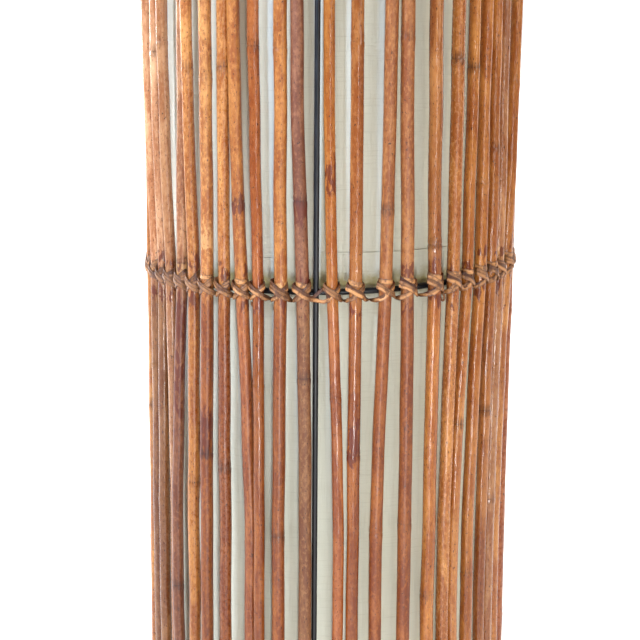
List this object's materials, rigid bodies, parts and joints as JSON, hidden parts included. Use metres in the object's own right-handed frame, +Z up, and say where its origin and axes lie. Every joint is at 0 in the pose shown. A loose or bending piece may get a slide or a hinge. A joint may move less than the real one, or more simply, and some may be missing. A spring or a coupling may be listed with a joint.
{
  "type": "rattan tiki torch floor lamp",
  "caption": "Tall cylindrical floor lamp of upright varnished canes lashed with split cane to a black wire frame, around a woven cloth diffuser with a lampholder and bulb.",
  "frame": {"origin": "on the floor, on the lamp's axis", "axes": "+Z up along the axis; -Y is the front, where one upright shows between the canes; +X is the right side seen from the front"},
  "size_m": [0.3344, 0.3341, 1.198],
  "materials": {
    "cane": "varnished rattan cane, orange to red-brown, mottled, with dark joints",
    "split_cane": "flat split cane, satin, darker in the folds",
    "black_wire": "black paint, semi-gloss",
    "diffuser_cloth": "off-white fine plain weave, matt",
    "rubber_foot": "matt black rubber",
    "steel": "zinc-plated steel",
    "black_plastic": "moulded black plastic, semi-gloss",
    "bulb_brass": "plain brass screw cap",
    "opal_glass": "opal white glass"
  },
  "bodies": {
    "cane_frame": {"cane_01": "cane", "cane_04": "cane", "cane_05": "cane", "cane_06": "cane", "cane_07": "cane", "cane_08": "cane", "cane_09": "cane", "cane_10": "cane", "cane_11": "cane", "cane_12": "cane", "cane_13": "cane", "cane_14": "cane", "cane_15": "cane", "cane_16": "cane", "cane_17": "cane", "cane_18": "cane", "cane_19": "cane", "cane_22": "cane", "canes_02_03": "cane", "canes_20_21": "cane", "canes_23_24": "cane", "canes_25_26": "cane", "canes_27_28": "cane", "canes_29_30": "cane", "canes_31_32": "cane", "canes_33_34": "cane", "canes_35_36": "cane", "canes_37_38": "cane", "canes_39_40": "cane", "canes_41_42": "cane", "canes_43_44": "cane", "canes_45_46": "cane", "canes_47_48": "cane", "canes_49_50": "cane", "ring_lower": "black_wire", "lashing_lower": "split_cane", "ring_middle": "black_wire", "lashing_middle": "split_cane", "ring_upper": "black_wire", "lashing_upper": "split_cane", "upright_front": "black_wire", "foot_front": "rubber_foot", "upright_right": "black_wire", "foot_right": "rubber_foot", "upright_back": "black_wire", "foot_back": "rubber_foot", "upright_left": "black_wire", "foot_left": "rubber_foot", "base_bar": "black_wire", "stem_tube": "steel", "stem_nut": "steel", "cord_gland": "black_plastic", "lampholder_cap": "black_plastic", "lampholder_shell": "black_plastic"},
    "diffuser": {"diffuser_lower_sheet": "diffuser_cloth", "diffuser_upper_sheet": "diffuser_cloth", "diffuser_lower_hoop": "steel", "diffuser_upper_hoop": "steel"},
    "bulb": {"bulb_cap": "bulb_brass", "bulb_glass": "opal_glass"}
  },
  "joints": [
    {"name": "diffuser_lift", "type": "slide", "parent": "cane_frame", "child": "diffuser", "axis": [0, 0, 1], "range_m": [0, 1.15]},
    {"name": "bulb_out", "type": "slide", "parent": "cane_frame", "child": "bulb", "axis": [0, 0, 1], "range_m": [0, 0.15]}
  ]
}
